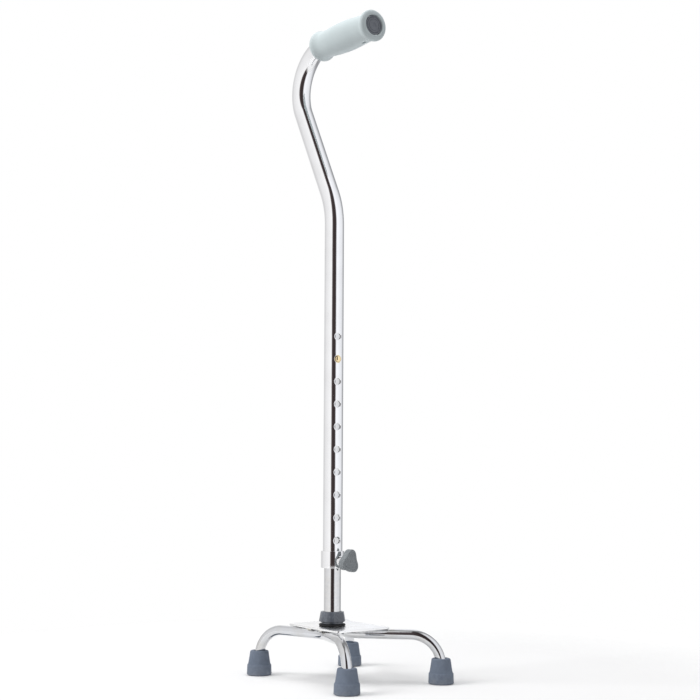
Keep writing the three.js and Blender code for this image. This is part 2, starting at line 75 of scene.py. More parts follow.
def pick(piece):
    letGo()
    piece.select_set(True)
    bpy.context.view_layer.objects.active = piece


def editAll(piece):
    pick(piece)
    bpy.ops.object.mode_set(mode="EDIT")
    bpy.ops.mesh.select_mode(type="VERT")
    bpy.ops.mesh.select_all(action="SELECT")


def selectWhere(piece, test, kind="VERT"):
    # selects the vertices, edges or faces that pass the test, and stays in edit mode
    pick(piece)
    bpy.ops.object.mode_set(mode="EDIT")
    bpy.ops.mesh.select_mode(type=kind)
    bpy.ops.mesh.select_all(action="DESELECT")
    bpy.ops.object.mode_set(mode="OBJECT")
    mesh = piece.data
    for part in {"VERT": mesh.vertices, "EDGE": mesh.edges, "FACE": mesh.polygons}[kind]:
        part.select = test(part)
    bpy.ops.object.mode_set(mode="EDIT")


def settle(piece):
    # puts the piece's place, turn and scale into its mesh
    pick(piece)
    bpy.ops.object.transform_apply(location=True, rotation=True, scale=True)
    return piece


def put(piece, place=(0, 0, 0), turn=(0, 0, 0)):
    piece.location = place
    piece.rotation_euler = turn
    return settle(piece)


def alongClamp(piece):
    return put(piece, shaft + Vector((0, 0, clampHeight)), (0, math.pi / 2, clampAngle))


def mod(piece, kind, **settings):
    pick(piece)
    made = piece.modifiers.new(kind.title(), kind)
    for key, value in settings.items():
        setattr(made, key, value)
    bpy.ops.object.modifier_apply(modifier=made.name)
    return piece


def bevelled(piece, width, segments=3, angle=32):
    return mod(piece, "BEVEL", width=width * mm, segments=segments, limit_method="ANGLE",
               angle_limit=math.radians(angle), use_clamp_overlap=True)


def cut(piece, cutter):
    mod(piece, "BOOLEAN", object=cutter, operation="DIFFERENCE", solver="EXACT")
    bpy.data.objects.remove(cutter)
    return piece


def smooth(piece, angle=34):
    pick(piece)
    bpy.ops.object.shade_smooth_by_angle(angle=math.radians(angle))
    return piece


def joined(pieces, name):
    letGo()
    for p in pieces:
        p.select_set(True)
    bpy.context.view_layer.objects.active = pieces[0]
    bpy.ops.object.join()
    pieces[0].name = name
    return pieces[0]


def copyOf(piece, name, shift):
    pick(piece)
    bpy.ops.object.duplicate(linked=False)
    twin = bpy.context.view_layer.objects.active
    twin.name = name
    return put(twin, shift)


def spun(name, profile, sides=64):
    # a profile of (radius, height) in millimetres, drawn as a line and spun about Z
    letGo()
    radius, height = profile[0]
    bpy.ops.mesh.primitive_plane_add(size=mm, location=(radius * mm, 0, height * mm))
    piece = bpy.context.object
    piece.name = name
    editAll(piece)
    bpy.ops.mesh.merge(type="CENTER")
    for nextRadius, nextHeight in profile[1:]:
        step = ((nextRadius - radius) * mm, 0, (nextHeight - height) * mm)
        bpy.ops.mesh.extrude_vertices_move(TRANSFORM_OT_translate={"value": step})
        radius, height = nextRadius, nextHeight
    bpy.ops.mesh.select_all(action="SELECT")
    bpy.ops.mesh.spin(steps=sides, angle=2 * math.pi, center=(0, 0, 0), axis=(0, 0, 1))
    bpy.ops.mesh.select_all(action="SELECT")
    bpy.ops.mesh.remove_doubles(threshold=mm / 1000)
    bpy.ops.mesh.normals_make_consistent(inside=False)
    return settle(piece)


def rod(name, radius, low, high, sides=48):
    # a plain round rod in millimetres, only ever used to cut with
    letGo()
    bpy.ops.mesh.primitive_cylinder_add(vertices=sides, radius=radius * mm,
                                        depth=(high - low) * mm,
                                        location=(0, 0, (low + high) / 2 * mm))
    bpy.context.object.name = name
    return settle(bpy.context.object)


def smoothLine(points, steps):
    # a soft line through the points, each stretch in equal steps
    line = []
    for i in range(len(points) - 1):
        before = points[max(i - 1, 0)]
        start, end = points[i], points[i + 1]
        after = points[min(i + 2, len(points) - 1)]
        for k in range(steps):
            t = k / steps
            line.append(tuple(
                0.5 * (2 * b + (c - a) * t + (2 * a - 5 * b + 4 * c - d) * t * t
                       + (3 * b - a - 3 * c + d) * t ** 3)
                for a, b, c, d in zip(before, start, end, after)))
    line.append(points[-1])
    return line


def bentTube(name, radius, corners, bends, sides, rows=(), stepAngle=3.0):
    # a tube's skin pushed along straight runs and spun round each rounded corner;
    # rows are the lengths in which the first run is pushed, and the rest follows in one
    corners = [Vector(c) * mm for c in corners]
    headings = [(b - a).normalized() for a, b in zip(corners, corners[1:])]
    letGo()
    facing = headings[0].to_track_quat("Z", "Y").to_euler()
    bpy.ops.mesh.primitive_circle_add(vertices=sides, radius=radius * mm, fill_type="NOTHING",
                                      location=corners[0], rotation=facing)
    piece = bpy.context.object
    piece.name = name
    editAll(piece)
    at = corners[0].copy()
    for i, heading in enumerate(headings):
        bendNext = bends[i] * mm if i < len(bends) else 0
        turn = heading.angle(headings[i + 1]) if bendNext else 0
        runEnd = corners[i + 1] - heading * bendNext * math.tan(turn / 2)
        pushes = list(rows) if i == 0 else []
        rest = (runEnd - at).length / mm - sum(pushes)
        if rest > leastPush:
            pushes.append(rest)
        for push in pushes:
            bpy.ops.mesh.extrude_region_move(
                TRANSFORM_OT_translate={"value": heading * push * mm})
        at = runEnd
        if bendNext:
            axis = heading.cross(headings[i + 1]).normalized()
            centre = at + axis.cross(heading) * bendNext
            steps = max(3, math.ceil(math.degrees(turn) / stepAngle))
            bpy.ops.mesh.spin(steps=steps, angle=-turn, center=centre, axis=axis)
            at = centre + Matrix.Rotation(turn, 3, axis) @ (at - centre)
    bpy.ops.mesh.select_all(action="SELECT")
    bpy.ops.mesh.remove_doubles(threshold=mm / 1000)
    bpy.ops.mesh.normals_make_consistent(inside=False)
    return settle(piece)


def walled(piece, wall):
    return mod(piece, "SOLIDIFY", thickness=wall * mm, offset=-1, use_even_offset=True,
               use_rim=True)


def fit(piece, body, slot, material, *nodes):
    # the piece's finish, the body it moves with and the CAD nodes it stands for
    piece.data.materials.clear()
    piece.data.materials.append(material)
    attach(piece, body)
    if nodes:
        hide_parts(*nodes)
    return piece


def link(tree, kind, inputs=None, **settings):
    # a node with its settings, each input given a value or wired to a socket
    made = tree.nodes.new(kind)
    for key, value in settings.items():
        setattr(made, key, value)
    for key, value in (inputs or {}).items():
        if isinstance(value, bpy.types.NodeSocket):
            tree.links.new(value, made.inputs[key])
        else:
            made.inputs[key].default_value = value
    return made


def newGroup(name, inputs, outputs):
    # a shader group: a vector and named numbers go in, named numbers come out
    group = bpy.data.node_groups.new(name, "ShaderNodeTree")
    group.interface.new_socket("Vector", in_out="INPUT", socket_type="NodeSocketVector")
    for label, value in inputs.items():
        group.interface.new_socket(label, in_out="INPUT",
                                   socket_type="NodeSocketFloat").default_value = value
    for label in outputs:
        group.interface.new_socket(label, in_out="OUTPUT", socket_type="NodeSocketFloat")
    given = group.nodes.new("NodeGroupInput").outputs
    return group, given, group.nodes.new("NodeGroupOutput").inputs


def mathNode(tree, operation, a, b=0.0, clamp=False):
    return link(tree, "ShaderNodeMath", {0: a, 1: b}, operation=operation,
                use_clamp=clamp).outputs[0]


def remap(tree, value, fromLow, fromHigh, toLow=0.0, toHigh=1.0):
    return link(tree, "ShaderNodeMapRange",
                {"Value": value, "From Min": fromLow, "From Max": fromHigh,
                 "To Min": toLow, "To Max": toHigh}).outputs["Result"]


def noise(tree, vector, scale, detail=3.0, roughness=0.5):
    return link(tree, "ShaderNodeTexNoise",
                {"Vector": vector, "Scale": scale, "Detail": detail,
                 "Roughness": roughness}).outputs["Fac"]


def blend(tree, factor, first, second):
    return link(tree, "ShaderNodeMix", {0: factor, 6: first, 7: second},
                data_type="RGBA").outputs[2]


def makeGrain():
    # fine moulded grain: a height for bump and a soft mottle for colour
    group, given, out = newGroup("mouldedGrain", {"Grain Scale": 2500.0, "Mottle Scale": 60.0},
                                 ("Height", "Mottle"))
    fine = noise(group, given["Vector"], given["Grain Scale"], 2.0, 0.6)
    pits = link(group, "ShaderNodeTexVoronoi",
                {"Vector": given["Vector"], "Scale": given["Grain Scale"]},
                feature="SMOOTH_F1").outputs["Distance"]
    mottle = noise(group, given["Vector"], given["Mottle Scale"], 4.0, 0.6)
    height = mathNode(group, "ADD", fine, mathNode(group, "MULTIPLY", pits, 0.5))
    group.links.new(height, out["Height"])
    group.links.new(remap(group, mottle, 0.3, 0.7), out["Mottle"])
    return group


def makeEdgeWear():
    # rubbed edges: where the surface turns outwards, broken up by a rough pattern
    group, given, out = newGroup("rubbedEdges", {"Reach": 0.54, "Break Scale": 300.0},
                                 ("Mask",))
    shape = link(group, "ShaderNodeNewGeometry").outputs["Pointiness"]
    edges = remap(group, shape, 0.505, given["Reach"])
    broken = remap(group, noise(group, given["Vector"],
                                given["Break Scale"], 4.0, 0.7), 0.35, 0.65)
    group.links.new(mathNode(group, "MULTIPLY", edges, broken, True), out["Mask"])
    return group


def makeFloorDust():
    # dust that thins out with height above the floor
    group, given, out = newGroup("floorDust", {"Top": 0.02, "Speck Scale": 220.0}, ("Mask",))
    height = link(group, "ShaderNodeSeparateXYZ",
                  {"Vector": given["Vector"]}).outputs["Z"]
    low = remap(group, height, given["Top"], 0.0)
    specks = remap(group, noise(group, given["Vector"],
                                given["Speck Scale"], 6.0, 0.7), 0.4, 0.75)
    group.links.new(mathNode(group, "MULTIPLY", low, specks, True), out["Mask"])
    return group


def makeHandling():
    # finger marks and wipe marks on a polished surface
    group, given, out = newGroup("handlingMarks", {"Smudge Scale": 30.0, "Line Scale": 900.0},
                                 ("Smudges", "Hairlines"))
    soft = noise(group, given["Vector"], given["Smudge Scale"], 5.0, 0.62)
    # hairlines run along the tube, so the pattern is drawn out along Z
    drawn = link(group, "ShaderNodeMapping", {"Vector": given["Vector"],
                                              "Scale": (1.0, 1.0, 0.03)}).outputs["Vector"]
    lines = noise(group, drawn, given["Line Scale"], 3.0, 0.7)
    group.links.new(remap(group, soft, 0.42, 0.72), out["Smudges"])
    group.links.new(remap(group, lines, 0.5, 0.72), out["Hairlines"])
    return group


mouldedGrain = makeGrain()
rubbedEdges = makeEdgeWear()
floorDust = makeFloorDust()
handlingMarks = makeHandling()


def place(tree, group, inputs):
    return link(tree, "ShaderNodeGroup", inputs, node_tree=group).outputs


def startMaterial(name):
    made = bpy.data.materials.new(name)
    made.use_nodes = True
    tree = made.node_tree
    shader = tree.nodes["Principled BSDF"]
    where = link(tree, "ShaderNodeTexCoord").outputs["Object"]
    return made, tree, shader, where


def bump(tree, shader, height, strength, depth):
    made = link(tree, "ShaderNodeBump", {"Strength": strength, "Distance": depth * mm,
                                         "Height": height})
    tree.links.new(made.outputs["Normal"], shader.inputs["Normal"])


def moulded(name, values):
    # plastic or rubber: grain, mottle, rubbed edges and floor dust, each at its own strength
    values = {"wearReach": 0.57, **values}
    made, tree, shader, where = startMaterial(name)
    grain = place(tree, mouldedGrain, {"Vector": where, "Grain Scale": values["grainScale"],
                                       "Mottle Scale": values["mottleScale"]})
    wear = place(tree, rubbedEdges, {"Vector": where, "Reach": values["wearReach"]})["Mask"]
    body = blend(tree, grain["Mottle"], (*values["dark"], 1), (*values["light"], 1))
    worn = blend(tree, mathNode(tree, "MULTIPLY", wear, values["wear"]), body,
                 (*values["rubbed"], 1))
    rough = remap(tree, grain["Mottle"], 0.0, 1.0, *values["roughness"])
    if "dust" in values:
        dust = place(tree, floorDust, {"Vector": where, "Top": values["dustTop"] * mm})["Mask"]
        dusty = mathNode(tree, "MULTIPLY", dust, values["dust"])
        worn = blend(tree, dusty, worn, (*values["dustColour"], 1))
    tree.links.new(worn, shader.inputs["Base Color"])
    tree.links.new(rough, shader.inputs["Roughness"])
    shader.inputs["Specular IOR Level"].default_value = values["specular"]
    bump(tree, shader, grain["Height"], values["grainStrength"], values["grainDepth"])
    return made


def metal(name, values):
    # polished or plated metal: smudges and drawn hairlines in the gloss, tint in the colour
    values = {"wearReach": 0.56, "rippleDepth": 0.2, **values}
    made, tree, shader, where = startMaterial(name)
    marks = place(tree, handlingMarks, {"Vector": where, "Smudge Scale": values["smudgeScale"],
                                        "Line Scale": values["lineScale"]})
    wear = place(tree, rubbedEdges, {"Vector": where, "Reach": values["wearReach"]})["Mask"]
    body = blend(tree, marks["Smudges"], (*values["light"], 1), (*values["dark"], 1))
    worn = blend(tree, mathNode(tree, "MULTIPLY", wear, values["wear"]), body,
                 (*values["rubbed"], 1))
    low, high = values["roughness"]
    rough = mathNode(tree, "ADD", remap(tree, marks["Smudges"], 0.0, 1.0, low, high),
                     mathNode(tree, "MULTIPLY", marks["Hairlines"], values["hairlines"]))
    tree.links.new(worn, shader.inputs["Base Color"])
    tree.links.new(rough, shader.inputs["Roughness"])
    shader.inputs["Metallic"].default_value = 1.0
    ripple = noise(tree, where, values["rippleScale"], 2.0, 0.5)
    height = mathNode(tree, "ADD", ripple,
                      mathNode(tree, "MULTIPLY", marks["Hairlines"], 0.25))
    bump(tree, shader, height, values["rippleStrength"], values["rippleDepth"])
    return made


chrome = metal("brightChrome", {
    "light": (0.90, 0.905, 0.915), "dark": (0.85, 0.852, 0.86), "rubbed": (0.93, 0.92, 0.90),
    "roughness": (0.045, 0.10), "hairlines": 0.05, "smudgeScale": 38.0, "lineScale": 1100.0,
    "wear": 0.35,
    "rippleScale": 260.0, "rippleStrength": 0.05})
# a darker copy of the bright chrome for the legs and the lower tube: its lower colour is
# painted shade, standing in for the dimmer light low down near the floor
shadedBaseChrome = metal("shadedBaseChrome", {
    "light": (0.70, 0.712, 0.735), "dark": (0.64, 0.635, 0.625), "rubbed": (0.86, 0.84, 0.80),
    "roughness": (0.03, 0.10), "hairlines": 0.05, "smudgeScale": 46.0, "lineScale": 1100.0,
    "wear": 0.4,
    "rippleScale": 300.0, "rippleStrength": 0.08})
plateChrome = metal("plateChrome", {
    "light": (0.96, 0.965, 0.97), "dark": (0.90, 0.90, 0.89), "rubbed": (0.97, 0.96, 0.94),
    "roughness": (0.26, 0.34), "hairlines": 0.06, "smudgeScale": 60.0, "lineScale": 700.0,
    "wear": 0.4,
    "rippleScale": 420.0, "rippleStrength": 0.10})
weldedChrome = metal("chromeOverWeld", {
    "light": (0.78, 0.77, 0.74), "dark": (0.60, 0.56, 0.48), "rubbed": (0.84, 0.80, 0.70),
    "roughness": (0.12, 0.30), "hairlines": 0.03, "smudgeScale": 160.0, "lineScale": 500.0,
    "wearReach": 0.58, "wear": 0.4,
    "rippleScale": 700.0, "rippleStrength": 0.35, "rippleDepth": 0.4})
zinc = metal("zincPlatedSteel", {
    "light": (0.62, 0.63, 0.65), "dark": (0.50, 0.50, 0.49), "rubbed": (0.75, 0.74, 0.72),
    "roughness": (0.26, 0.42), "hairlines": 0.06, "smudgeScale": 240.0, "lineScale": 600.0,
    "wear": 0.6,
    "rippleScale": 900.0, "rippleStrength": 0.25})
springSteel = metal("springSteel", {
    "light": (0.36, 0.37, 0.39), "dark": (0.24, 0.25, 0.28), "rubbed": (0.55, 0.55, 0.55),
    "roughness": (0.24, 0.38), "hairlines": 0.08, "smudgeScale": 120.0, "lineScale": 900.0,
    "wear": 0.6,
    "rippleScale": 600.0, "rippleStrength": 0.15})
brass = metal("polishedBrass", {
    "light": (0.96, 0.78, 0.46), "dark": (0.84, 0.64, 0.34), "rubbed": (0.98, 0.88, 0.66),
    "roughness": (0.09, 0.18), "hairlines": 0.05, "smudgeScale": 300.0, "lineScale": 900.0,
    "wear": 0.7,
    "rippleScale": 900.0, "rippleStrength": 0.1})
gripPlastic = moulded("gripPlastic", {
    "light": (0.640, 0.715, 0.728), "dark": (0.585, 0.665, 0.680), "rubbed": (0.70, 0.76, 0.77),
    "roughness": (0.40, 0.52), "specular": 0.42, "grainScale": 2600.0, "mottleScale": 26.0,
    "grainStrength": 0.22, "grainDepth": 0.08, "wearReach": 0.58, "wear": 0.5})
plugPlastic = moulded("plugPlastic", {
    "light": (0.205, 0.220, 0.250), "dark": (0.165, 0.178, 0.205), "rubbed": (0.30, 0.32, 0.35),
    "roughness": (0.38, 0.52), "specular": 0.4, "grainScale": 2200.0, "mottleScale": 120.0,
    "grainStrength": 0.25, "grainDepth": 0.08, "wear": 0.6})
knobPlastic = moulded("knobPlastic", {
    "light": (0.250, 0.272, 0.285), "dark": (0.210, 0.230, 0.242), "rubbed": (0.36, 0.38, 0.39),
    "roughness": (0.48, 0.60), "specular": 0.35, "grainScale": 2000.0, "mottleScale": 90.0,
    "grainStrength": 0.35, "grainDepth": 0.1, "wear": 0.55})
glidePlastic = moulded("glidePlastic", {
    "light": (0.045, 0.048, 0.055), "dark": (0.030, 0.032, 0.036), "rubbed": (0.12, 0.12, 0.13),
    "roughness": (0.45, 0.6), "specular": 0.35, "grainScale": 2000.0, "mottleScale": 120.0,
    "grainStrength": 0.3, "grainDepth": 0.1, "wear": 0.5})
tipRubber = moulded("tipRubber", {
    "light": (0.172, 0.205, 0.262), "dark": (0.130, 0.158, 0.208), "rubbed": (0.27, 0.30, 0.35),
    "roughness": (0.62, 0.78), "specular": 0.28, "grainScale": 1500.0, "mottleScale": 75.0,
    "grainStrength": 0.45, "grainDepth": 0.14, "wear": 0.5,
    "dust": 0.42, "dustTop": 9.0, "dustColour": (0.40, 0.39, 0.37)})
bootRubber = moulded("bootRubber", {
    "light": (0.105, 0.120, 0.148), "dark": (0.072, 0.084, 0.106), "rubbed": (0.21, 0.23, 0.26),
    "roughness": (0.20, 0.32), "specular": 0.75, "grainScale": 1500.0, "mottleScale": 110.0,
    "grainStrength": 0.25, "grainDepth": 0.08, "wear": 0.6})
blackRubber = moulded("blackRubber", {
    "light": (0.020, 0.020, 0.022), "dark": (0.012, 0.012, 0.013), "rubbed": (0.08, 0.08, 0.08),
    "roughness": (0.55, 0.72), "specular": 0.3, "grainScale": 1500.0, "mottleScale": 110.0,
    "grainStrength": 0.4, "grainDepth": 0.12, "wear": 0.6})
print("materials made")


cameraSet = {"place": (1259.6, -932.4, 237.9), "heading": 53.485, "pitch": 4.388,
             "roll": 0.269, "lens": 70.795, "shift": 0.015,
             "sensor": 36, "near": 0.05, "far": 60}


def makeCamera():
    letGo()
    aim = Euler((math.radians(90 + cameraSet["pitch"]), 0, math.radians(cameraSet["heading"])))
    tilt = aim.to_matrix() @ Matrix.Rotation(math.radians(cameraSet["roll"]), 3, "Z")
    bpy.ops.object.camera_add(location=Vector(cameraSet["place"]) * mm,
                              rotation=tilt.to_euler())
    camera = bpy.context.object
    camera.name = "studioCamera"
    camera.data.sensor_width = cameraSet["sensor"]
    camera.data.lens = cameraSet["lens"]
    camera.data.shift_y = cameraSet["shift"]
    camera.data.clip_start = cameraSet["near"]
    camera.data.clip_end = cameraSet["far"]
    bpy.context.scene.camera = camera


# Brightness of the studio walls as the polished metal sees them, once round the cane. The
# dark stretch near 0.5 is the unlit end of the room behind the camera.
studio = {
    "wallRing": [(0.0, 1.0), (0.07, 0.95), (0.10, 0.72), (0.162, 0.74), (0.22, 0.88),
                 (0.307, 0.95), (0.381, 1.02), (0.428, 1.03), (0.448, 0.07), (0.50, 0.03),
                 (0.562, 0.05), (0.582, 1.0), (0.612, 1.09), (0.647, 1.05), (0.685, 1.0),
                 (0.725, 0.95), (0.77, 0.95), (0.825, 0.70), (0.86, 0.45), (0.90, 0.32),
                 (0.935, 0.38), (0.955, 1.0)],
    "dark": (1.30, 1.0, 1.02), "left": (1.0, 0.995, 1.0), "right": (0.985, 0.995, 1.03),
    "ceiling": 0.22, "ceilingFrom": 0.93, "ceilingTo": 0.985, "darkBelow": 0.1,
    "ambient": 0.52, "evenness": 0.3, "seen": 1.0,
    "floorRadius": 0.62, "floorSolid": 0.36, "floorDrop": 0.3,
    "floorPale": (0.92, 0.92, 0.92), "floorDull": (0.90, 0.90, 0.90),
    "key": {"place": (-0.9, -2.3, 2.1), "size": (1.5, 1.5), "power": 52.0},
    "top": {"place": (0.0, 0.2, 3.2), "size": (2.0, 2.0), "power": 44.0},
}


def makeWorld():
    world = bpy.data.worlds.new("studioWalls")
    world.use_nodes = True
    bpy.context.scene.world = world
    tree = world.node_tree
    tree.nodes.clear()
    direction = link(tree, "ShaderNodeTexCoord").outputs["Generated"]
    turned = link(tree, "ShaderNodeMapping",
                  {"Vector": direction,
                   "Rotation": (0, 0, math.radians(90 - cameraSet["heading"]))})
    ring = link(tree, "ShaderNodeTexGradient", {"Vector": turned.outputs["Vector"]},
                gradient_type="RADIAL").outputs["Fac"]
    ramp = link(tree, "ShaderNodeValToRGB", {"Fac": ring})
    stops = ramp.color_ramp.elements
    while len(stops) > 1:
        stops.remove(stops[-1])
    for i, (at, level) in enumerate(studio["wallRing"]):
        stop = stops[0] if i == 0 else stops.new(at)
        stop.position = at
        side = "dark" if level < studio["darkBelow"] else "left" if at < 0.5 else "right"
        tint = studio[side]
        stop.color = (level * tint[0], level * tint[1], level * tint[2], 1)
    height = link(tree, "ShaderNodeSeparateXYZ", {"Vector": direction}).outputs["Z"]
    up = remap(tree, height, studio["ceilingFrom"], studio["ceilingTo"])
    walls = blend(tree, up, ramp.outputs["Color"], (studio["ceiling"],) * 3 + (1,))
    path = link(tree, "ShaderNodeLightPath").outputs
    # matt surfaces see the same walls, toned down and evened out
    even = blend(tree, studio["evenness"], walls, (1, 1, 1, 1))
    dimmed = blend(tree, studio["ambient"], (0, 0, 0, 1), even)
    soft = blend(tree, path["Is Diffuse Ray"], walls, dimmed)
    colour = blend(tree, path["Is Camera Ray"], soft, (studio["seen"],) * 3 + (1,))
    light = link(tree, "ShaderNodeBackground", {"Color": colour, "Strength": 1.0})
    out = tree.nodes.new("ShaderNodeOutputWorld")
    tree.links.new(light.outputs["Background"], out.inputs["Surface"])


def makeFloor():
    # a pale round floor that fades into the background at its rim
    letGo()
    bpy.ops.mesh.primitive_circle_add(vertices=96, radius=studio["floorRadius"],
                                      fill_type="NGON",
                                      location=(0, 0, -studio["floorDrop"] * mm))
    floor = settle(bpy.context.object)
    floor.name = "studioFloor"
    made, tree, shader, where = startMaterial("paleFloor")
    mottle = remap(tree, noise(tree, where, 3.0, 3.0, 0.5), 0.3, 0.7)
    tree.links.new(blend(tree, mottle, (*studio["floorDull"], 1), (*studio["floorPale"], 1)),
                   shader.inputs["Base Color"])
    shader.inputs["Roughness"].default_value = 0.9
    shader.inputs["Specular IOR Level"].default_value = 0.1
    away = link(tree, "ShaderNodeVectorMath", {0: where}, operation="LENGTH").outputs["Value"]
    rim = remap(tree, away, studio["floorRadius"], studio["floorSolid"])
    tree.links.new(rim, shader.inputs["Alpha"])
    floor.data.materials.append(made)


def makeLight(name, values, target):
    letGo()
    bpy.ops.object.light_add(type="AREA", location=values["place"])
    lamp = bpy.context.object
    lamp.name = name
    lamp.data.shape = "RECTANGLE"
    lamp.data.size, lamp.data.size_y = values["size"]
    lamp.data.energy = values["power"]
    aim = Vector(target) - Vector(values["place"])
    lamp.rotation_euler = aim.to_track_quat("-Z", "Y").to_euler()
    lamp.visible_camera = False
    lamp.visible_glossy = False
    return lamp


makeCamera()
makeWorld()
makeFloor()
makeLight("keySoftbox", studio["key"], (0, 0, 0.4))
makeLight("topSoftbox", studio["top"], (0, 0, 0.2))
bpy.context.scene.view_settings.view_transform = "Standard"
print("camera and studio made")


tubeSmooth = 40      # degrees, for every bent tube
legSet = {"diameter": 11.2, "wall": 1.2, "bend": 33, "footX": 84.5, "footY": 64.35,
          "axisHeight": 52.3, "end": 8.1, "sides": 56, "stepAngle": 2.5,
          "inner": {"setback": 14, "corner": 60}, "outer": {"setback": 5, "corner": 36}}


def makeLeg(which):
    leg, side = legSet[which], legSides[which]
    footY = side * legSet["footY"]
    meeting = shaftY / mm + side * leg["setback"]
    corners = [(-legSet["footX"], footY, legSet["end"]),
               (-legSet["footX"], footY, legSet["axisHeight"]),
               (0, meeting, legSet["axisHeight"]),
               (legSet["footX"], footY, legSet["axisHeight"]),
               (legSet["footX"], footY, legSet["end"])]
    bends = [legSet["bend"], leg["corner"], legSet["bend"]]
    tube = bentTube(f"{which}LegTube", legSet["diameter"] / 2, corners, bends,
                    legSet["sides"], stepAngle=legSet["stepAngle"])
    walled(tube, legSet["wall"])
    smooth(tube, tubeSmooth)
    # the legs take the darker chrome copy, whose lower colour is painted shade
    return fit(tube, "base", "chrome", shadedBaseChrome, f"leg_tube_{which}")


for which in legSides:
    makeLeg(which)
print("leg tubes bent")


plateSet = {"thick": 2.2, "corner": 4, "edge": 0.35}
beadSet = {"ripples": 7, "length": 9.0, "width": 3.6, "apart": 24, "rippleLong": 1.05,
           "rippleDeep": 1.75, "endRoom": 2.4, "taper": 0.22, "lean": 0.28, "sink": 0.5,
           "voxel": 0.28}


def makePlate():
    low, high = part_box("base_plate")
    top = high.z
    thick = plateSet["thick"] * mm
    letGo()
    bpy.ops.mesh.primitive_cube_add(size=1, location=(
        (low.x + high.x) / 2, (low.y + high.y) / 2, top - thick / 2))
    plate = bpy.context.object
    plate.name = "footPlate"
    plate.scale = (high.x - low.x, high.y - low.y, thick)
    settle(plate)
    # round the four upright edges, then soften the rims
    heights = [v.co.z for v in plate.data.vertices]
    selectWhere(plate, lambda edge: abs(heights[edge.vertices[0]] - heights[edge.vertices[1]])
                > thick / 2, "EDGE")
    bpy.ops.mesh.bevel(offset=plateSet["corner"] * mm, segments=8)
    bpy.ops.object.mode_set(mode="OBJECT")
    hole = rod("plateHole", boltHole, low.z / mm - 5, top / mm + 5)
    cut(plate, put(hole, shaft))
    bevelled(plate, plateSet["edge"], 3)
    smooth(plate)
    return plate


def makeBead(name, which, end):
    # a row of overlapping ripples laid along the corner between the leg and the plate
    leg, side = legSet[which], legSides[which]
    meeting = shaftY / mm + side * leg["setback"]
    armAngle = math.atan2(side * legSet["footY"] - meeting, legSet["footX"])
    centreY = meeting + side * leg["corner"] / math.cos(armAngle)
    turn = math.asin(beadSet["apart"] / 2 / leg["corner"])
    reach = leg["corner"] - legSet["diameter"] / 2
    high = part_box("base_plate")[1]
    height = high.z / mm - plateSet["thick"] - beadSet["sink"]
    ripples = []
    for i in range(beadSet["ripples"]):
        aside = i / (beadSet["ripples"] - 1) - 0.5   # -0.5 and 0.5 at the bead's two ends
        along = aside * (beadSet["length"] - beadSet["endRoom"])
        angle = end * turn + along / reach
        grow = 1.0 - beadSet["taper"] * abs(aside) * 2
        x = reach * math.sin(angle)
        y = centreY - side * reach * math.cos(angle)
        letGo()
        bpy.ops.mesh.primitive_uv_sphere_add(segments=24, ring_count=14, radius=mm,
                                             location=(x * mm, y * mm, height * mm))
        ripple = bpy.context.object
        ripple.scale = (beadSet["rippleLong"] * grow, beadSet["width"] / 2 * grow,
                        beadSet["rippleDeep"] * grow)
        ripple.rotation_euler = (0, beadSet["lean"], side * angle)
        ripples.append(settle(ripple))
    bead = joined(ripples, name)
    mod(bead, "REMESH", mode="VOXEL", voxel_size=beadSet["voxel"] * mm)
    mod(bead, "SMOOTH", factor=0.5, iterations=2)
    smooth(bead, 80)
    return fit(bead, "base", "chrome", weldedChrome)


fit(makePlate(), "base", "chrome", plateChrome, "base_plate")
for which in legSides:
    for label, end in legEnds.items():
        makeBead(f"{which}Weld{label.title()}", which, end)
print("plate and welds made")


tipSet = {"bore": 5.9, "boreTop": 26.3, "floor": 6.2, "sides": 72, "edge": 0.32,
          "outline": [(13.3, 0.0), (14.1, 0.9), (13.95, 4.0), (13.72, 10.9), (13.3, 11.7),
                      (12.86, 12.05), (12.68, 12.5), (12.0, 16.4), (10.62, 25.6),
                      (10.3, 26.7), (9.5, 27.3), (6.9, 27.3), (6.1, 26.9)],
          "sole": [(0.0, 1.1), (3.4, 1.1), (4.0, 0.0), (5.6, 0.0), (6.2, 1.1), (7.6, 1.1),
                   (8.2, 0.0), (9.8, 0.0), (10.4, 1.1), (11.4, 1.1), (12.0, 0.0)]}


def makeTips():
    bore = tipSet["bore"]
    profile = (tipSet["sole"] + tipSet["outline"]
               + [(bore, tipSet["boreTop"]), (bore, tipSet["floor"]), (0.0, tipSet["floor"])])
    first = spun("rubberTip", profile, tipSet["sides"])
    bevelled(first, tipSet["edge"], 3, 28)
    smooth(first)
    for where, side in legSides.items():
        for label, end in legEnds.items():
            spot = Vector((end * legSet["footX"] * mm, side * legSet["footY"] * mm, 0))
            tip = copyOf(first, f"{where}{label.title()}Tip", spot)
            fit(tip, "base", "tip_rubber", tipRubber, f"rubber_tip_{where}_{label}")
    bpy.data.objects.remove(first)


makeTips()
print("rubber tips made")


bootSet = {"base": 63.0, "height": 13.2, "baseDiameter": 29.6, "topDiameter": 26.0,
           "neckRadius": 12.2, "neck": 2.0, "sides": 12, "bore": 9.75, "boreFloor": 3.0,
           "edge": 0.22, "smooth": 24,
           "lip": [(0.0, -0.6), (0.1, 0.15), (0.7, 0.3), (1.3, 0.1), (1.5, -0.6)]}


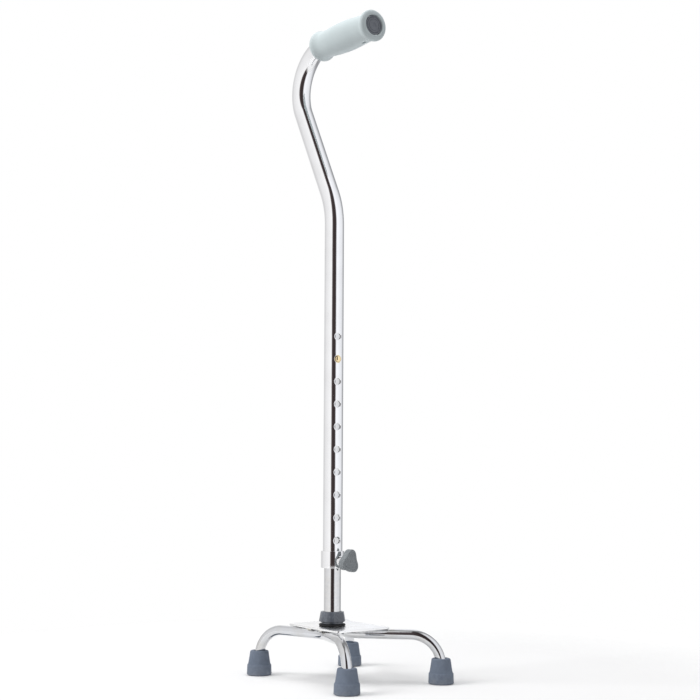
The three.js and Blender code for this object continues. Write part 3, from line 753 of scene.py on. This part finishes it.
def makeBoot():
    low, high = bootSet["base"], bootSet["base"] + bootSet["height"]
    flare, neckTop = bootSet["baseDiameter"] / 2, low + bootSet["neck"]
    rings = [(flare - 0.9, neckTop), (flare, neckTop + 0.5), (flare, neckTop + 1.5),
             (bootSet["topDiameter"] / 2, high)]
    letGo()
    radius, height = rings[0]
    bpy.ops.mesh.primitive_circle_add(vertices=bootSet["sides"], radius=radius * mm,
                                      fill_type="NGON", location=(0, 0, height * mm))
    boot = bpy.context.object
    boot.name = "shaftBoot"
    editAll(boot)
    for nextRadius, nextHeight in rings[1:]:
        bpy.ops.mesh.extrude_region_move(
            TRANSFORM_OT_translate={"value": (0, 0, (nextHeight - height) * mm)})
        bpy.ops.transform.resize(value=(nextRadius / radius, nextRadius / radius, 1),
                                 center_override=(0, 0, nextHeight * mm))
        radius, height = nextRadius, nextHeight
    bpy.ops.mesh.select_all(action="SELECT")
    bpy.ops.mesh.normals_make_consistent(inside=False)
    settle(boot)
    bevelled(boot, bootSet["edge"], 2, 20)
    bore, neckRadius = bootSet["bore"], bootSet["neckRadius"]
    cut(boot, rod("bootBore", bore, low + bootSet["boreFloor"], high + 10, 72))
    neck = spun("bootNeck", [(boltHole, low), (neckRadius - 0.3, low),
                             (neckRadius, low + 0.3), (neckRadius, neckTop + 0.4),
                             (boltHole, neckTop + 0.4), (boltHole, low)])
    lipLine = [(bore + out, high + up) for out, up in bootSet["lip"]]
    lip = spun("bootLip", smoothLine(lipLine, 3) + lipLine[:1], 72)
    whole = joined([boot, neck, lip], "shaftBoot")
    smooth(put(whole, shaft), bootSet["smooth"])
    return fit(whole, "base", "boot_rubber", bootRubber, "base_boot")


bootWasherSet = {"rim": 14.8, "slope": 0.5, "edge": 0.2, "sides": 96}


def makeBootWasher():
    low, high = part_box("boot_washer")
    bottom, top = low.z / mm, high.z / mm
    rim, slope = bootWasherSet["rim"], bootWasherSet["slope"]
    washer = spun("bootWasher", [
        (boltHole, bottom), (rim - slope, bottom), (rim, bottom + slope), (rim, top - slope),
        (rim - slope, top), (boltHole, top), (boltHole, bottom)], bootWasherSet["sides"])
    bevelled(washer, bootWasherSet["edge"], 2)
    smooth(put(washer, shaft))
    return fit(washer, "base", "black_rubber", blackRubber, "boot_washer")


boltSet = {"flats": 13.0, "headHeight": 5.0, "thread": 4.0, "root": 3.45, "pitch": 1.25,
           "plain": 6, "threadEnd": 1.6, "sides": 40, "edge": 0.18, "smooth": 28,
           "chamferIn": 1.2, "chamferOut": 2, "chamferUp": 1.6, "washerRim": 8.0}


def makeBolt():
    low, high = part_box("base_bolt")
    bottom, top = low.z / mm, high.z / mm
    headTop = bottom + boltSet["headHeight"]
    corner = boltSet["flats"] / 2 / math.cos(math.pi / 6)
    letGo()
    bpy.ops.mesh.primitive_cylinder_add(vertices=6, radius=corner * mm,
                                        depth=boltSet["headHeight"] * mm,
                                        location=(0, 0, (bottom + headTop) / 2 * mm))
    head = settle(bpy.context.object)
    # the turned chamfer on the underside of the hexagon
    inner, outer = corner - boltSet["chamferIn"], corner + boltSet["chamferOut"]
    under = bottom - 0.01
    cone = spun("headChamfer", [(inner, under), (outer, under),
                                (outer, bottom + boltSet["chamferUp"]), (inner, under)], 96)
    cut(head, cone)
    bevelled(head, boltSet["edge"], 2)
    height = headTop + boltSet["plain"]
    shank = [(0.0, headTop - 1), (boltSet["thread"], headTop - 1), (boltSet["thread"], height)]
    while height < top - boltSet["threadEnd"]:
        shank += [(boltSet["root"], height + boltSet["pitch"] * 0.5),
                  (boltSet["thread"], height + boltSet["pitch"])]
        height += boltSet["pitch"]
    shank += [(boltSet["root"], top), (0.0, top)]
    threads = spun("boltThread", shank, boltSet["sides"])
    bolt = joined([head, threads], "baseBolt")
    smooth(put(bolt, shaft), boltSet["smooth"])
    return fit(bolt, "base", "zinc_steel", zinc, "base_bolt")


def makeFlatWasher():
    low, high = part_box("flat_washer")
    bottom, top = low.z / mm, high.z / mm
    rim = boltSet["washerRim"]
    washer = spun("flatWasher", [(boltHole, bottom), (rim, bottom), (rim, top),
                                 (boltHole, top), (boltHole, bottom)])
    bevelled(washer, boltSet["edge"], 2)
    smooth(put(washer, shaft))
    return fit(washer, "base", "zinc_steel", zinc, "flat_washer")


makeBoot()
makeBootWasher()
makeBolt()
makeFlatWasher()
print("boot, washers and bolt made")


tubeSet = {"lowerRadius": 9.5, "upperRadius": 11.1, "wall": 1.2, "sides": 96,
           "holeRadius": 3.6, "holePitch": 25.4, "holeCount": 10, "lowestHole": 154.9,
           "setHole": 8, "fineRow": 0.85, "fineSpan": 6.4,
           "dimpleDepth": 0.75, "dimpleReach": 1.12, "dimplePatch": 5.6, "punchReach": (4, 16)}
buttonHeight = tubeSet["lowestHole"] + tubeSet["setHole"] * tubeSet["holePitch"]


def tubeRows(start, holes):
    # row lengths up to the last hole: short ones round each hole, one long one between
    rows, at = [], start
    for centre in holes:
        low, high = centre - tubeSet["fineSpan"], centre + tubeSet["fineSpan"]
        rows.append(low - at)
        count = round((high - low) / tubeSet["fineRow"])
        rows += [(high - low) / count] * count
        at = high
    return rows


def fromShaft(co):
    return math.hypot(co.x - shaftX, co.y - shaftY)


def finePatches(piece, heights):
    # smaller faces round each hole, their new points put back on the tube's round
    radius, patch = tubeSet["upperRadius"] * mm, tubeSet["dimplePatch"] * mm

    def inPatch(co, extra=0.0):
        if (co - shaft).dot(buttonFacing) < 0:
            return False
        aside = (co - shaft).cross(buttonFacing).z
        return any(math.hypot(aside, co.z - height * mm) < patch + extra for height in heights)

    selectWhere(piece, lambda v: inPatch(v.co))
    bpy.ops.mesh.subdivide(number_cuts=2)
    bpy.ops.object.mode_set(mode="OBJECT")
    for v in piece.data.vertices:
        if inPatch(v.co, mm):
            grow = radius / fromShaft(v.co)
            v.co.x = shaftX + (v.co.x - shaftX) * grow
            v.co.y = shaftY + (v.co.y - shaftY) * grow
    return piece


def punch(piece, heights):
    # presses a dimple into the outer skin round each hole, and leaves the bore straight
    skin = (tubeSet["upperRadius"] - tubeSet["wall"] / 2) * mm
    for height in heights:
        middle = shaft + Vector((0, 0, height * mm))

        def within(co, radius, centre=middle):
            away = co - centre
            out = away.dot(buttonFacing)
            return out > 0 and (away - buttonFacing * out).length < radius * mm

        selectWhere(piece, lambda v: fromShaft(v.co) > skin and
                    within(v.co, tubeSet["holeRadius"]))
        bpy.ops.transform.translate(
            value=-buttonFacing * tubeSet["dimpleDepth"] * mm, use_proportional_edit=True,
            proportional_edit_falloff="SMOOTH",
            proportional_size=tubeSet["dimpleReach"] * mm)
        bpy.ops.object.mode_set(mode="OBJECT")
    return piece


def punchHoles(piece, heights):
    cutters = []
    for height in heights:
        cutter = rod("punch", tubeSet["holeRadius"], *tubeSet["punchReach"])
        put(cutter, shaft + Vector((0, 0, height * mm)), (0, math.pi / 2, buttonAngle))
        cutters.append(cutter)
    return cut(piece, joined(cutters, "punches"))


def makeLowerTube():
    low, high = lowerTubeLow.z / mm, lowerTubeHigh.z / mm
    corners = [(shaftX / mm, shaftY / mm, low), (shaftX / mm, shaftY / mm, high)]
    tube = bentTube("lowerTube", tubeSet["lowerRadius"], corners, [], tubeSet["sides"],
                    tubeRows(low, [buttonHeight]))
    walled(tube, tubeSet["wall"])
    punchHoles(tube, [buttonHeight])
    smooth(tube, tubeSmooth)
    # the lower tube takes the darker chrome copy, whose lower colour is painted shade
    return fit(tube, "base", "chrome", shadedBaseChrome, "lower_tube")


buttonSet = {"radius": 3.3, "flange": 4.2, "tail": 1.4, "standOut": 2.2, "domeHeight": 1.5,
             "tailEnd": 3.9, "flangeBack": 5.86, "flangeFace": 6.86, "edge": 0.12, "sides": 56}


def makeButton():
    # the profile runs outwards from the shaft's middle
    tip = tubeSet["upperRadius"] + buttonSet["standOut"]
    shoulder = tip - buttonSet["domeHeight"]
    radius, flange, tail = buttonSet["radius"], buttonSet["flange"], buttonSet["tail"]
    start, back, face = (buttonSet[key] for key in ("tailEnd", "flangeBack", "flangeFace"))
    dome = [(radius * math.cos(math.radians(d)),
             shoulder + (tip - shoulder) * math.sin(math.radians(d))) for d in range(0, 90, 10)]
    profile = ([(0.0, start), (tail - 0.2, start), (tail, start + 0.2), (tail, back),
                (flange, back), (flange, face), (radius, face)] + dome + [(0.0, tip)])
    button = spun("snapButton", profile, buttonSet["sides"])
    bevelled(button, buttonSet["edge"], 2, 50)
    smooth(button, tubeSmooth)
    put(button, shaft + Vector((0, 0, buttonHeight * mm)), (0, math.pi / 2, buttonAngle))
    return fit(button, "button", "brass", brass, "snap_button")


springSet = {"edge": 0.12, "farFace": -6.97, "nearFace": 5.56, "press": 4.2}


def makeButtonSpring():
    # the folded strip behind the button, softened at its edges.
    letGo()
    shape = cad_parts["button_spring"].data.copy()
    spring = bpy.data.objects.new("buttonSpring", shape)
    bpy.context.collection.objects.link(spring)
    editAll(spring)
    bpy.ops.mesh.remove_doubles(threshold=mm / 1000)
    bpy.ops.mesh.tris_convert_to_quads()
    settle(spring)
    bevelled(spring, springSet["edge"], 2)
    smooth(spring)
    fit(spring, "base", "spring_steel", springSteel, "button_spring")
    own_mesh(spring)


makeLowerTube()
makeButton()
makeButtonSpring()
print("lower tube and button made")


neckSet = {"cornerHeight": 532.0, "lean": 27.5, "lowerBend": 85.0, "upperBend": 50.0,
           "gripAxis": 726.3, "end": 70.3, "start": 124.9, "stepAngle": 2.0}


def makeUpperTube():
    topCorner = -(neckSet["gripAxis"] - neckSet["cornerHeight"]) * math.tan(
        math.radians(neckSet["lean"]))
    y = shaftY / mm
    corners = [(0, y, neckSet["start"]), (0, y, neckSet["cornerHeight"]),
               (topCorner, y, neckSet["gripAxis"]), (neckSet["end"], y, neckSet["gripAxis"])]
    heights = [tubeSet["lowestHole"] + i * tubeSet["holePitch"]
               for i in range(tubeSet["holeCount"])]
    tube = bentTube("upperTube", tubeSet["upperRadius"], corners,
                    [neckSet["lowerBend"], neckSet["upperBend"]], tubeSet["sides"],
                    tubeRows(neckSet["start"], heights), neckSet["stepAngle"])
    finePatches(tube, heights)
    walled(tube, tubeSet["wall"])
    punch(tube, heights)
    punchHoles(tube, heights)
    smooth(tube, tubeSmooth)
    return fit(tube, "upper", "chrome", chrome, "upper_tube")


makeUpperTube()
print("upper tube bent and punched")


gripSet = {"reach": 74.0, "length": 107.0, "bore": 11.4, "sides": 96, "smooth": 36,
           "slotIn": 19, "slotDown": 15, "slotSize": (6.5, 2.4, 7.6), "slotEdge": 0.9,
           "outline": [(12.1, 0.0), (13.7, 0.7), (14.9, 2.2), (16.0, 3.3), (16.8, 4.6),
                       (17.35, 6.0), (17.5, 7.4), (17.4, 9.2), (16.9, 11.0), (16.2, 12.8),
                       (15.7, 14.6), (15.3, 16.6), (15.2, 18.0), (15.45, 22.0), (15.8, 27.0),
                       (16.4, 34.5), (16.8, 42.0), (17.1, 49.0), (17.2, 56.0), (17.05, 64.0),
                       (16.6, 72.0), (16.0, 80.0), (15.6, 88.0), (15.25, 94.0), (15.25, 96.2),
                       (15.6, 98.0), (16.4, 99.6), (17.2, 101.1), (17.65, 102.4),
                       (17.68, 103.5), (17.2, 104.8), (16.1, 105.9), (14.6, 106.6),
                       (13.0, 106.95)]}


def makeGrip():
    outline = smoothLine(gripSet["outline"], 3)
    bore = gripSet["bore"]
    length = gripSet["length"]
    profile = ([(bore, 0.5), (bore + 0.25, 0.0)] + outline
               + [(bore + 0.9, length), (bore + 0.3, length - 0.3), (bore, length - 1.0),
                  (bore, 0.5)])
    grip = spun("handGrip", profile, gripSet["sides"])
    put(grip, ((gripSet["reach"] - length) * mm, shaftY, neckSet["gripAxis"] * mm),
        (0, math.pi / 2, 0))
    # the narrow slot on the underside near the free end
    letGo()
    bpy.ops.mesh.primitive_cube_add(size=1, location=(
        (gripSet["reach"] - gripSet["slotIn"]) * mm, shaftY,
        (neckSet["gripAxis"] - gripSet["slotDown"]) * mm))
    slotCutter = bpy.context.object
    slotCutter.scale = Vector(gripSet["slotSize"]) * mm
    settle(slotCutter)
    bevelled(slotCutter, gripSet["slotEdge"], 4)
    cut(grip, slotCutter)
    smooth(grip, gripSet["smooth"])
    return fit(grip, "upper", "grip_plastic", gripPlastic, "hand_grip")


plugSet = {"head": 10.8, "stem": 9.6, "wall": 2.0, "face": 73.0, "thick": 2.4,
           "stemLength": 16, "sides": 80, "edge": 0.14,
           "rings": [(10.8, 0.5), (10.4, 0.0), (9.5, 0.0), (9.15, 0.75), (8.7, 0.75),
                     (8.4, 0.2), (7.2, 0.2), (6.85, 0.65), (6.35, 0.65), (6.0, 0.3),
                     (3.1, 0.42), (2.7, 0.8), (0.0, 0.8)]}   # radius and depth of each ring


def makePlug():
    face, stem = plugSet["face"], plugSet["stem"]
    back = face - plugSet["thick"]
    end, inner = back - plugSet["stemLength"], stem - plugSet["wall"]
    profile = ([(inner, end), (stem, end), (stem, back), (plugSet["head"], back)]
               + [(radius, face - depth) for radius, depth in plugSet["rings"]]
               + [(0.0, back), (inner, back), (inner, end)])
    plug = spun("gripEndPlug", profile, plugSet["sides"])
    bevelled(plug, plugSet["edge"], 2, 25)
    smooth(plug)
    put(plug, (0, shaftY, neckSet["gripAxis"] * mm), (0, math.pi / 2, 0))
    return fit(plug, "upper", "plug_plastic", plugPlastic, "grip_end_plug")


makeGrip()
makePlug()
print("grip and end plug made")


clampSet = {"collarBore": 11.4, "collarRadius": 13.2, "screwHole": 3.3,
            "bossRadius": 6.25, "bossBack": 11.9, "bossEnd": 19.8, "bossSink": 0.25,
            "screwStart": 11.6, "screwEnd": 26.5, "screwRadius": 3.0, "screwRoot": 2.5,
            "screwPitch": 1.0, "screwSides": 40, "screwSmooth": 28, "collarEdge": 0.45,
            "bossEdge": 0.2, "bossSides": 56}


def makeCollar():
    bottom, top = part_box("lock_collar")
    low, high = bottom.z / mm, top.z / mm
    bore, radius = clampSet["collarBore"], clampSet["collarRadius"]
    collar = spun("lockCollar", [(bore, low), (radius, low), (radius, high), (bore, high),
                                 (bore, low)], 96)
    bevelled(collar, clampSet["collarEdge"], 4)
    put(collar, shaft)
    cut(collar, alongClamp(rod("collarHole", clampSet["screwHole"], 5, 20, 40)))
    smooth(collar)
    return fit(collar, "upper", "chrome", chrome, "lock_collar")


def makeBoss():
    hole, radius = clampSet["screwHole"], clampSet["bossRadius"]
    back, face = clampSet["bossBack"], clampSet["bossEnd"]
    boss = spun("clampBoss", [(radius, back), (radius, face - 0.6), (radius - 0.6, face),
                              (hole + 0.5, face), (hole, face - 0.5), (hole, back),
                              (radius, back)], clampSet["bossSides"])
    bevelled(boss, clampSet["bossEdge"], 2)
    smooth(alongClamp(boss))
    # the back of the boss follows the collar
    seat = rod("collarSeat", clampSet["collarRadius"] - clampSet["bossSink"],
               clampHeight / mm - 25, clampHeight / mm + 25, 96)
    cut(boss, put(seat, shaft))
    smooth(boss)
    return fit(boss, "upper", "chrome", chrome, "clamp_boss")


def makeScrew():
    start, end = clampSet["screwStart"], clampSet["screwEnd"]
    root = clampSet["screwRoot"]
    line = [(0.0, start), (root, start)]
    at = start + 0.5
    while at < end - 0.6:
        line += [(clampSet["screwRadius"], at + 0.1), (root, at + 0.6)]
        at += clampSet["screwPitch"]
    line += [(root, end), (0.0, end)]
    screw = spun("clampScrew", line, clampSet["screwSides"])
    smooth(alongClamp(screw), clampSet["screwSmooth"])
    return fit(screw, "knob", "zinc_steel", zinc, "clamp_screw")


knobSet = {"radius": 11.8, "lobe": 2.1, "start": 20.4, "thick": 8.2, "lean": -14.0,
           "socket": 3.3, "socketDepth": 6.4, "edge": 1.3, "fineEdge": 0.25, "dish": 0.55,
           "dishRim": 2.6, "dishSlope": 0.5, "dishFlat": 1.6, "sides": 120, "smooth": 32,
           "mark": [(0.0, -0.4), (2.4, -0.4), (2.4, 0.12), (2.1, 0.2), (1.7, 0.2),
                    (1.5, 0.02), (0.6, 0.02), (0.4, 0.16), (0.0, 0.18)]}


def makeKnob():
    start, thick = knobSet["start"], knobSet["thick"]
    letGo()
    bpy.ops.mesh.primitive_circle_add(vertices=knobSet["sides"],
                                      radius=knobSet["radius"] * mm,
                                      fill_type="NGON", location=(0, 0, start * mm))
    knob = bpy.context.object
    knob.name = "clampKnob"
    settle(knob)
    # pull the round outline out into three lobes
    for v in knob.data.vertices:
        angle = math.atan2(v.co.y, v.co.x)
        reach = knobSet["radius"] + knobSet["lobe"] * math.cos(3 * angle)
        v.co.x, v.co.y = reach * mm * math.cos(angle), reach * mm * math.sin(angle)
    editAll(knob)
    bpy.ops.mesh.extrude_region_move(TRANSFORM_OT_translate={"value": (0, 0, thick * mm)})
    bpy.ops.object.mode_set(mode="OBJECT")
    selectWhere(knob, lambda face: face.center.z > (start + thick - 0.1) * mm, "FACE")
    bpy.ops.mesh.inset(thickness=knobSet["dishRim"] * mm, depth=0)
    bpy.ops.mesh.inset(thickness=knobSet["dishSlope"] * mm, depth=-knobSet["dish"] * mm)
    bpy.ops.mesh.inset(thickness=knobSet["dishFlat"] * mm, depth=0)
    bpy.ops.mesh.select_all(action="SELECT")
    bpy.ops.mesh.normals_make_consistent(inside=False)
    settle(knob)
    bevelled(knob, knobSet["edge"], 5, 60)
    bevelled(knob, knobSet["fineEdge"], 2, 30)
    cut(knob, rod("knobSocket", knobSet["socket"], start - 2, start + knobSet["socketDepth"]))
    # a small ring and gate mark in the middle of the face
    face = start + thick - knobSet["dish"]
    mark = spun("gateMark", [(radius, face + up) for radius, up in knobSet["mark"]], 40)
    knob = joined([knob, mark], "clampKnob")
    put(knob, turn=(0, 0, math.pi + math.radians(knobSet["lean"])))
    smooth(alongClamp(knob), knobSet["smooth"])
    return fit(knob, "knob", "knob_plastic", knobPlastic, "clamp_knob")


makeCollar()
makeBoss()
makeScrew()
makeKnob()
print("clamp made")


kept = {"clamp_pad": brass, "tube_glide": glidePlastic,
        "tube_insert": zinc, "spring_washer": springSteel}
for where in legSides:
    for label in legEnds:
        kept[f"tip_disc_{where}_{label}"] = zinc
for name, material in kept.items():
    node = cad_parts[name]
    node.data.materials.clear()
    node.data.materials.append(material)
print("kept nodes finished")
